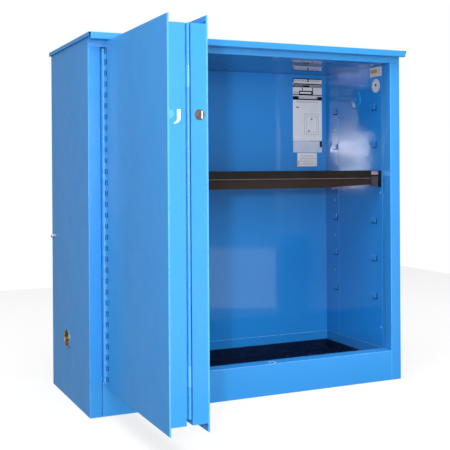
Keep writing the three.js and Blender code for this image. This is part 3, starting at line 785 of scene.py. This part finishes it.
def skin(name, body, place, us, cutters=()):
    """The outer sheet of a leaf, its top and bottom edges folded back into open hems."""
    half = SHEET / 2
    path = [(HEM, SKIN_BOTTOM + HEM_LENGTH), (HEM, SKIN_BOTTOM + half), (half, SKIN_BOTTOM + half),
            (half, SKIN_TOP - half), (HEM, SKIN_TOP - half), (HEM, SKIN_TOP - HEM_LENGTH)]
    bm = bmesh.new()
    extrude(bm, folded(path, SHEET, 1.3), us, lambda p, q, s: place(s, p, q))
    build(name, bm, SHELL, body, (name,), 0.35, cutters)


def edge_returns():
    """The turned edges of the skins beside the fold, in a paler blue that is a painted highlight."""
    for name, body, place, u in (
        ("leaf_a_turned_edge", "leaf_a", leaf_a, (LEAF_END - 0.1, LEAF_END + 0.25)),
        ("leaf_b_turned_edge", "leaf_b", leaf_b, (EDGE_GAP - 0.25, EDGE_GAP + 0.1)),
    ):
        bm = bmesh.new()
        slab(bm, u, (0.0, 4.2), (SKIN_BOTTOM, SKIN_TOP), place)
        build(name, bm, PALE_PAINT, body, (), 0.12)


def hinge_notches():
    """Cutters for the notches in leaf A's skin beside the cabinet's knuckles."""
    low, high = span("frame_hinge_pin")[2]
    pitch = (high - low) / FRAME_KNUCKLES
    bm = bmesh.new()
    for i in range(0, FRAME_KNUCKLES, 2):
        start = low + i * pitch
        zs = (start + 0.6, start + pitch - 0.6)
        slab(bm, (LEAF_START - 2, LEAF_START + NOTCH), (-1, SHEET + 0.4), zs, leaf_a)
    return bm


def door():
    """The skins of both leaves, with openings for the hinge and for the handle dish."""
    skin("leaf_a_skin", "leaf_a", leaf_a, (LEAF_START, LEAF_END), (hinge_notches(),))
    zs = span("frame_hinge_pin")[2]
    # A near-black strip behind the hinge notches: painted shade in them.
    dark = bmesh.new()
    slab(dark, (LEAF_START + 0.1, LEAF_START + NOTCH + 3), (SHEET + 0.05, SHEET + 0.25), zs, leaf_a)
    build("hinge_notch_painted_shade", dark, PAINTED_SHADE, "leaf_a")
    dish_u = [y - FOLD_Y for y in span("handle_dish")[1]]
    dish_z = span("handle_dish")[2]
    opening = bmesh.new()
    us = (dish_u[0] + DISH_RIM, dish_u[1] - DISH_RIM)
    slab(opening, us, (-4, 9), (dish_z[0] + DISH_RIM, dish_z[1] - DISH_RIM), leaf_b)
    us = (EDGE_GAP, EDGE_GAP + LEAF_END - LEAF_START)
    skin("leaf_b_skin", "leaf_b", leaf_b, us, (opening,))
    edge_returns()


# ---- latch parts ----

BUTTON_R = 7.1
BUTTON_FLAT = 4.3  # from the button's middle to the flat on its side
PLUG_R = 10.0


def disc_outline(radius, sides, limit):
    """A circle's outline with each (across, up) point passed through limit(across)."""
    outline = []
    for i in range(sides):
        angle = 2 * math.pi * i / sides
        outline.append((limit(radius * math.cos(angle)), radius * math.sin(angle)))
    return list(dict.fromkeys(outline))


def latch():
    """The trigger's bezel, its button with one flat side, a pale bar beside it that is a painted
    highlight for a streak of reflected light, and the lock.
    """
    y0, y1 = span("trigger_bezel")[1]
    bezel_x = middle(span("trigger_bezel")[0])
    z = middle(span("trigger_bezel")[2])

    def along_y(along, a, b):
        return point(bezel_x + a, along, z + b)

    rim = [(11.9, y0 + 0.9), (12.1, y0 + 0.2), (12.8, y0), (13.3, y0 + 0.3), (13.5, y0 + 0.8)]
    sleeve = [(9.8, y0 + 0.9), (9.8, y1), (7.5, y1), (7.5, y0 + 1.0)]
    bm = bmesh.new()
    lathe(bm, rim + sleeve, along_y, 64)
    face = bmesh.new()
    lathe(face, [(7.4, y0 + 0.35), (12.0, y0 + 0.5), (12.0, y0 + 0.9), (7.4, y0 + 1.0)], along_y, 64)
    build("trigger_bezel", bm, LATCH_RIM, "leaf_b", ("trigger_bezel",))
    build("trigger_bezel_face", face, LATCH_FACE, "leaf_b")

    def across(p, q, s):
        return point(bezel_x + p, s, z + q)

    bm = bmesh.new()
    outline = disc_outline(BUTTON_R, 48, lambda a: min(BUTTON_FLAT, a))
    extrude(bm, outline, span("trigger_button")[1], across)
    build("trigger_button", bm, LATCH_FACE, "trigger_button", ("trigger_button",), 0.5)
    # Pale bar: a painted highlight standing for the vertical streak of light reflected on the latch.
    bar = bmesh.new()
    rib = rounded(BUTTON_FLAT + 0.2, BUTTON_FLAT + 3.4, -9.0, 9.0, 1.2)
    extrude(bar, rib, (y0 - 0.3, y0 + 0.7), across)
    build("trigger_highlight_bar", bar, PALE_STEEL, "leaf_b", (), 0.3)

    x0, x1 = span("lock_barrel")[0]
    lock = about_x(middle(span("lock_barrel")[1]), middle(span("lock_barrel")[2]))
    bm = bmesh.new()
    profile = [(7.3, x0), (10, x0), (10, x1 - 0.8), (9.3, x1), (7.8, x1), (7.3, x1 - 0.4)]
    lathe(bm, profile, lock, 48)
    build("lock_barrel", bm, NICKEL, "leaf_b", ("lock_barrel",))


def striker():
    """The hook on leaf A's end that the latch catches, and a round plug beside it."""
    ys = span("trigger_striker")[1]
    top = span("trigger_striker")[2][1]
    right = span("trigger_striker")[0][1]
    outside = [(0, 0), (0, -22), (-1.5, -26.5), (-5, -30.5), (-10, -33), (-15.5, -34.5)]
    inside = [(-17, -32), (-12, -29.5), (-9.2, -26.5), (-8.4, -22), (-8.4, 0)]
    bm = bmesh.new()
    extrude(bm, outside + inside, ys, lambda p, q, s: point(right + p, s, top + q))
    build("trigger_striker", bm, PALE_STEEL, "leaf_a", ("trigger_striker",), 0.4)
    centre = 6.5  # of the plug, in from leaf A's face; the plug is cut off near the face
    outline = disc_outline(PLUG_R, 40, lambda a: max(0.8 - centre, a))
    plug = bmesh.new()
    extrude(plug, outline, (LEAF_FAR - 0.9, LEAF_FAR + 0.2),
            lambda p, q, s: point(LEAF_A_FACE + centre + p, s, top - 11 + q))
    build("leaf_a_plug", plug, PALE_PAINT, "leaf_a", (), 0.3)


# ---- walls of the inner shell ----

TAB_COLUMNS = (100, 353)
TAB_LOWEST = 272
TAB_PITCH = 132
TAB_ROWS = 6
TAB_HALF = 15  # half a tab's width
TAB_STAND_OFF = 4.9
TAB_DROP = 19
REAR_STRIP = 331  # the liner's rear strip starts here
FRONT_SEAM = 73  # and its front strip ends here
STRIP = 0.9  # how far both strips stand off the wall
VENT_HOLE = 20
RIVETS = ((58, 635), (58, 169))
VENTS = {
    "left": (middle(span("vent_cap_low")[1]), middle(span("vent_cap_low")[2])),
    "right": (middle(span("vent_cap_high")[1]), middle(span("vent_cap_high")[2])),
}


def tab_top(row):
    return TAB_LOWEST + row * TAB_PITCH + 14


def liner_side(side, wall_x, inward):
    """A side wall: pressed shelf tabs, the seams of its front and rear strips, dimples."""
    node = f"liner_{side}"
    ys, zs = span(node)[1], span(node)[2]

    def out(distance):
        return wall_x + inward * distance

    def run(a, b):
        return tuple(sorted((out(a), out(b))))

    bm = bmesh.new()
    slab(bm, run(-LINER, 0), ys, zs)
    slab(bm, run(0, STRIP), (REAR_STRIP, ys[1]), (zs[0] + 1, zs[1] - 1))
    slab(bm, run(0, STRIP), (ys[0], FRONT_SEAM), (zs[0] + 1, zs[1] - 1))
    cutter = drum(VENT_HOLE, (wall_x - 8, wall_x + 8), about_x(*VENTS[side]), 48)
    build(node, bm, SIDE_WALL, "cabinet", (node,), 0.35, (cutter,))

    tabs = bmesh.new()
    for y in TAB_COLUMNS:
        for row in range(TAB_ROWS):
            top = tab_top(row)
            face = out(TAB_STAND_OFF)
            path = [(out(-0.6), top - 0.7), (face, top - 0.7), (face, top - TAB_DROP)]
            outline = folded(path, 1.3, 1.5, 4)
            extrude(tabs, outline, (y - TAB_HALF, y + TAB_HALF), lambda p, q, s: point(p, s, q))
    build(f"shelf_tabs_{side}", tabs, SIDE_WALL, "cabinet", (), 0.3)

    # Near-black strips beside and under each tab: painted shade in its openings.
    tab_shade = bmesh.new()
    for y in TAB_COLUMNS:
        base = STRIP if y > REAR_STRIP or y < FRONT_SEAM else 0.0
        depth = run(base - 0.3, base + 0.25)
        for row in range(TAB_ROWS):
            top = tab_top(row)
            slab(tab_shade, depth, (y - 18, y - TAB_HALF - 0.2), (top - 21.5, top - 2))
            slab(tab_shade, depth, (y - 18, y + 14), (top - 22.5, top - TAB_DROP - 0.3))
    build(f"shelf_tab_painted_shade_{side}", tab_shade, PAINTED_SHADE, "cabinet")

    dimples = bmesh.new()
    for row in range(TAB_ROWS - 1):
        z = TAB_LOWEST + (row + 0.5) * TAB_PITCH
        dome(dimples, out, TAB_COLUMNS[1], z, 4.0, 1.2)
    for y, z in RIVETS:
        dome(dimples, out, y, z, 4.6, 2.0)
    build(f"liner_rivets_{side}", dimples, PALE_PAINT, "cabinet")


def dome(bm, out, y, z, radius, height):
    """A low round head on a wall; out(distance) is x at that distance off the wall."""
    steps = 5
    base = 0.8
    profile = [(radius, out(base - 0.6))]
    for i in range(steps + 1):
        angle = math.pi / 2 * i / steps
        profile.append((radius * math.cos(angle), out(base + height * math.sin(angle))))
    profile[-1] = (0, profile[-1][1])
    profile.insert(0, (0, out(base - 0.6)))
    lathe(bm, profile, about_x(y, z), 24)


def back_wall():
    """Strips where the side sheets lap over the inner back wall, and the sump pan's rim."""
    bm = bmesh.new()
    zs = (SILL_TOP + 1, HEADER_BOTTOM - 1)
    for xs in ((WALL + 1, WALL + 18), (WIDTH - WALL - 18, WIDTH - WALL - 1)):
        slab(bm, xs, (LINER_BACK - 0.9, LINER_BACK + 0.2), zs)
    build("back_wall_laps", bm, INSIDE, "cabinet", (), 0.35)
    rim = bmesh.new()
    levels = (SILL_TOP - 2.6, SILL_TOP + 0.2)
    slab(rim, (WALL + 0.2, WIDTH - WALL - 0.2), (LINER_BACK - 1.6, LINER_BACK + 0.2), levels)
    for xs in ((WALL - 0.3, WALL + 1.4), (WIDTH - WALL - 1.4, WIDTH - WALL + 0.3)):
        slab(rim, xs, (RAIL_DEPTH + 1, LINER_BACK - 0.2), levels)
    build("sump_pan_rim", rim, PALE_PAINT, "cabinet", (), 0.4)


# ---- vents and ground screw ----

BORE = 24  # radius of the hole through a vent's bush
BUSH = 30.4
SCREW_CIRCLE = 31.5
VENT_SIDES = 72
BOSS_PROFILE = ((BUSH + 0.4, 0), (35.5, 0), (35.3, 1.4), (34.0, 2.4), (BUSH + 0.4, 2.5))
RIM_PROFILE = ((BORE, 0), (BUSH, 0), (BUSH, 2.7), (29.6, 3.5), (25.6, 3.5), (BORE, 2.1))
CAP_PROFILE = ((0, 0), (35, 0), (35, 1.2), (34.2, 2.2), (31.5, 3.8), (29, 4.1), (12, 4.1), (9.5, 4.8),
               (7.6, 7.2), (6.2, 8.0), (0, 8.0))
SCREW_PROFILE = ((0, 0), (3.2, 0), (3.0, 1.6), (1.8, 2.4), (0, 2.6))


def vent(side, level, wall_out, wall_in, out):
    """A vent's boss, bush, inner cover and screws. out is -1 on the left side, 1 on the right."""
    y, z = VENTS[side]
    around = about_x(y, z)
    face = wall_out + out * 0.3
    inner = wall_in - out * 0.3

    def turned(bm, profile, start, way, about=around, sides=VENT_SIDES):
        lathe(bm, [(r, start + way * h) for r, h in profile], about, sides)

    boss = bmesh.new()
    turned(boss, BOSS_PROFILE, face, out)
    build(f"vent_boss_{level}", boss, SHELL, "cabinet", (f"vent_boss_{level}",))
    bush = bmesh.new()
    turned(bush, RIM_PROFILE, face, out)
    end = wall_in - out * 0.2
    lathe(bush, [(BORE, face), (BORE + 3, face), (BORE + 3, end), (BORE, end)], around, VENT_SIDES)
    build(f"vent_bush_{level}", bush, BRASS, "cabinet", (f"vent_bush_{level}",))
    cap = bmesh.new()
    turned(cap, CAP_PROFILE, inner, -out)
    build(f"vent_cap_{level}", cap, INSIDE, "cabinet", (f"vent_cap_{level}",))
    screws = bmesh.new()
    for i in range(4):
        angle = math.radians(45 + 90 * i)
        at = about_x(y + SCREW_CIRCLE * math.cos(angle), z + SCREW_CIRCLE * math.sin(angle))
        turned(screws, SCREW_PROFILE, inner - out * 3.0, -out, at, 20)
    build(f"vent_screws_{level}", screws, INSIDE, "cabinet")


def ground_screw():
    """The washer and the screw on the outside of the left wall."""
    y, z = middle(span("ground_washer")[1]), middle(span("ground_washer")[2])
    around = about_x(y, z)
    washer = bmesh.new()
    lathe(washer, [(3.6, -0.3), (9.5, -0.3), (9.5, -1.5), (9.2, -1.8), (3.6, -1.8)], around, 48)
    build("ground_washer", washer, ZINC, "cabinet", ("ground_washer",))
    head = bmesh.new()
    lathe(head, [(0, -2.1), (6, -2.1), (6, -6.2), (5.2, -7.0), (0, -7.0)], around, 6)
    lathe(head, [(0, 14), (3, 13.4), (3, -2.0), (0, -2.0)], around, 32)
    build("ground_screw", head, ZINC, "cabinet", ("ground_screw",), 0.3)


# ---- placard and stickers ----

CARD = 0.7  # how far the card and the stickers stand off the wall
CARD_X = (909.0, 1035.0)
CARD_Y = (LINER_BACK - CARD, LINER_BACK - 0.1)
CARD_Z = (826.0, 1064.0)


def placard():
    """A card of plain blocks and lines on the inner back wall. The upper part is a heading of
    bands, and the lower part an outline of an open cabinet with a few call-outs."""
    (x0, x1), (low, top) = CARD_X, CARD_Z
    surface_y = LINER_BACK - CARD
    bm = bmesh.new()

    def mark(xs, downs, ink, lift=0.3):
        """A block given by its distances from the card's left edge and top edge."""
        depth = (surface_y - lift, surface_y + 0.1)
        slab(bm, (x0 + xs[0], x0 + xs[1]), depth, (top - downs[1], top - downs[0]), point, ink)

    def row(xs, downs, count, filled, ink, lift=0.3):
        step = (xs[1] - xs[0]) / count
        for i in range(count):
            start = xs[0] + i * step
            mark((start, start + step * filled), downs, ink, lift)

    def frame_of(xs, downs, line, ink, lift=0.3):
        mark(xs, (downs[0], downs[0] + line), ink, lift)
        mark(xs, (downs[1] - line, downs[1]), ink, lift)
        mark((xs[0], xs[0] + line), (downs[0] + line, downs[1] - line), ink, lift)
        mark((xs[1] - line, xs[1]), (downs[0] + line, downs[1] - line), ink, lift)

    slab(bm, CARD_X, CARD_Y, CARD_Z, point, 0)
    wide = x1 - x0
    mark((0, wide), (0, 3.6), 1)
    mark((0, 4), (3.6, 16), 1)
    row((8, 62), (5.5, 12.5), 5, 0.62, 2)
    mark((63, 69), (3.6, 13.6), 1)
    row((74, 120), (5.5, 12.5), 4, 0.6, 2)
    mark((2, wide), (19.2, 24.2), 1)
    mark((0, 74), (25.5, 34.0), 1)
    row((4, 44), (28.6, 30.6), 8, 0.6, 0, 0.5)
    mark((76, wide), (26.0, 29.6), 1)
    mark((76, wide), (31.6, 34.0), 1)
    row((3, 38), (38, 45), 5, 0.75, 3)
    row((44, 82), (38, 44), 5, 0.75, 3)
    row((89, 123), (38, 58), 4, 0.8, 3)
    row((3, 24), (50, 59), 3, 0.75, 2)
    mark((39, 42.5), (35, 48), 1)
    mark((84, 87.5), (35, 63), 1)
    frame_of((26, 84), (47, 62.5), 4.4, 1, 0.4)
    mark((0, wide), (61.0, 64.5), 1)
    mark((0, wide), (68.0, 82.0), 1)
    mark((24, 106), (67.5, 77.5), 2, 0.5)
    row((30, 101), (69.4, 72.6), 9, 0.7, 0, 0.7)
    row((34, 98), (74.2, 76.2), 10, 0.6, 3, 0.7)
    row((16, 112), (87.5, 91.5), 8, 0.72, 2)
    mark((14, 25), (108, 112), 1)
    row((66, 108), (117, 119), 5, 0.8, 3)
    row((66, 104), (121.5, 123), 4, 0.8, 3)
    row((40, 62), (112, 114), 3, 0.7, 3)
    frame_of((48, 112), (134, 214), 1.8, 2)
    frame_of((58, 104), (142, 206), 1.4, 2)
    mark((80, 81.2), (142, 206), 3)
    mark((36, 37.2), (116, 222), 3)
    mark((58, 104), (172, 173), 3)
    row((90, 112), (146.5, 148), 3, 0.8, 2)
    mark((77, 84), (151, 157), 1)
    mark((66, 71), (196, 203), 1)
    mark((68, 126), (237.0, 238.0), 1)
    build("placard", bm, [VINYL, INK, GREY_INK, FAINT_INK], "cabinet", (), 0.05)


def back_wall_stickers():
    """A silver label under the card, and a white one with four lines under that."""
    x0, x1 = CARD_X
    low = CARD_Z[0]
    bm = bmesh.new()
    printed_y = (LINER_BACK - 0.95, LINER_BACK - 0.6)
    slab(bm, (x0 + 1, x1 - 1), CARD_Y, (783, low - 1), point, 0)
    slab(bm, (x1 - 10, x1 - 1), (LINER_BACK - 1.0, LINER_BACK - 0.6), (803, low - 1), point, 4)
    slab(bm, (927, 1012), CARD_Y, (729, 781), point, 1)
    slab(bm, (930, 935), printed_y, (733, 752), point, 2)
    for i in range(4):
        z = 738 + i * 10
        slab(bm, (938, 1008 - 9 * (i % 2)), printed_y, (z, z + 2.5), point, 3)
    slab(bm, (932, 1010), printed_y, (729, 731.5), point, 3)
    inks = [FOIL, VINYL, ORANGE_INK, GREY_INK, INK]
    build("back_wall_stickers", bm, inks, "cabinet", (), 0.05)


def wall_stickers():
    """A small rectangular sticker and a round one near the top of the right wall."""
    off = WIDTH - WALL - STRIP
    paper = (off - 0.5, off + 0.1)
    lines = (off - 0.7, off - 0.4)
    blocks = (off - 0.8, off - 0.4)

    def on_wall(p, q, s):
        return point(s, p, q)

    bm = bmesh.new()
    slab(bm, paper, (49, 117), (1041, 1073), point, 0)
    extrude(bm, rounded(74, 113, 1052.5, 1066, 5.0), blocks, on_wall, 1)
    for i in range(4):
        z = 1047 + i * 6
        slab(bm, lines, (53, 71), (z, z + 2.5), point, 2)
    slab(bm, lines, (78, 112), (1044.5, 1047), point, 2)
    disc = about_x(83, 1009)
    lathe(bm, [(0, paper[0]), (24, paper[0]), (24, paper[1]), (0, paper[1])], disc, 56, 0)
    ring = [(19.5, lines[0]), (20.5, lines[0]), (20.5, lines[1]), (19.5, lines[1])]
    lathe(bm, ring, disc, 56, 2)
    extrude(bm, rounded(78, 88, 1007, 1016, 3.4), blocks, on_wall, 3)
    build("wall_stickers", bm, [VINYL, ORANGE_INK, GREY_INK, INK], "cabinet", (), 0.05)


# ---- shelf details ----


def shelf_ends():
    """Plates and dark labels at the ends of the shelf's front with painted shade in the gaps around
    them, the plates beside them, and a paler bead along the front seam that is a painted highlight.
    """
    front = span("shelf_tray")[1][0]
    top = span("shelf_tray")[2][1]
    low = span("shelf")[2][0]
    # A paler bead along the front seam: a painted highlight on the tray's lower edge.
    line = bmesh.new()
    seam = span("shelf_tray")[2][0]
    slab(line, (WALL + 44, WIDTH - WALL - 44), (front - 0.6, front + 0.4), (seam + 0.4, seam + 1.5))
    build("shelf_seam_highlight", line, SHELF_PLATE, "cabinet", (), 0.3)
    for side, turn in (("left", lambda x: x), ("right", lambda x: WIDTH - x)):
        xs = sorted((turn(WALL + 15), turn(WALL + 42)))
        plate = bmesh.new()
        slab(plate, xs, (front - 0.8, front + 0.4), (top - 14, top - 2))
        build(f"shelf_end_plate_{side}", plate, SHELF_PLATE, "cabinet", (), 0.3)
        label = bmesh.new()
        slab(label, xs, (front - 0.4, front + 4), (low + 3, top - 20))
        build(f"shelf_end_label_{side}", label, SLATE, "cabinet", (), 0.2)
        # Near-black blocks under the plate and in the gap to the wall: painted shade.
        end_shade = bmesh.new()
        slab(end_shade, (xs[0] - 2, xs[1] + 2), (front - 0.5, front + 4), (top - 18, top - 14.2))
        slab(end_shade, sorted((turn(WALL + 1.5), turn(WALL + 10))), (front - 0.6, front + 6), (low, top))
        build(f"shelf_end_painted_shade_{side}", end_shade, PAINTED_SHADE, "cabinet", (), 0.2)
        jamb = bmesh.new()
        slab(jamb, sorted((turn(WALL + 1.0), turn(WALL - 0.3))), (6, 44), (top - 18, top - 1))
        build(f"jamb_plate_{side}", jamb, PALE_PAINT, "cabinet", (), 0.4)


# ---- CAD nodes that stay: materials and rounded edges ----

KEPT = {
    SHELL: (
        "side_panel_left", "side_panel_right", "back_panel", "bottom_panel", "leaf_a_pan", "leaf_b_pan",
    ),
    INSIDE: ("liner_back", "liner_ceiling", "sump_pan"),
    TRAY: ("shelf_tray",),
    SUMP: ("sump_tray",),
    BLACK: ("shelf", "handle_dish", "paddle"),
    MESH: ("flame_screen_low", "flame_screen_high"),
    ZINC: (
        "ground_nut", "shelf_clip_left_front", "shelf_clip_right_front", "shelf_clip_left_rear",
        "shelf_clip_right_rear", "frame_hinge_pin", "fold_hinge_pin", "guide_track", "guide_bracket",
        "guide_pin", "paddle_pin", "cam_spindle", "latch_cam", "rod_upper", "rod_lower",
    ),
    NICKEL: ("key_plug",),
    NYLON: ("rod_guide_upper", "rod_guide_lower", "guide_roller"),
}
EDGE_WIDTHS = {"shelf_tray": 1.0, "sump_tray": 1.2, "handle_dish": 0.6, "paddle": 0.8}
SHARP = ("flame_screen_low", "flame_screen_high", "rod_guide_upper", "rod_guide_lower")


def dress_kept_nodes():
    """Gives each CAD node that is still shown its material, and most of them rounded edges."""
    for look, names in KEPT.items():
        for name in names:
            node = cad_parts[name]
            node.data.materials.clear()
            node.data.materials.append(look)
            if name not in SHARP:
                soften(node, EDGE_WIDTHS.get(name, 0.4), weld=True)


make_camera()
make_world()
make_light()
make_floor()
front_frame()
lid()
frame_hinge()
fold_hinge()
fold_hinge_sleeves()
door()
latch()
striker()
liner_side("left", WALL, 1)
liner_side("right", WIDTH - WALL, -1)
back_wall()
vent("left", "low", 0, WALL, -1)
vent("right", "high", WIDTH, WIDTH - WALL, 1)
ground_screw()
placard()
back_wall_stickers()
wall_stickers()
shelf_ends()
dress_kept_nodes()
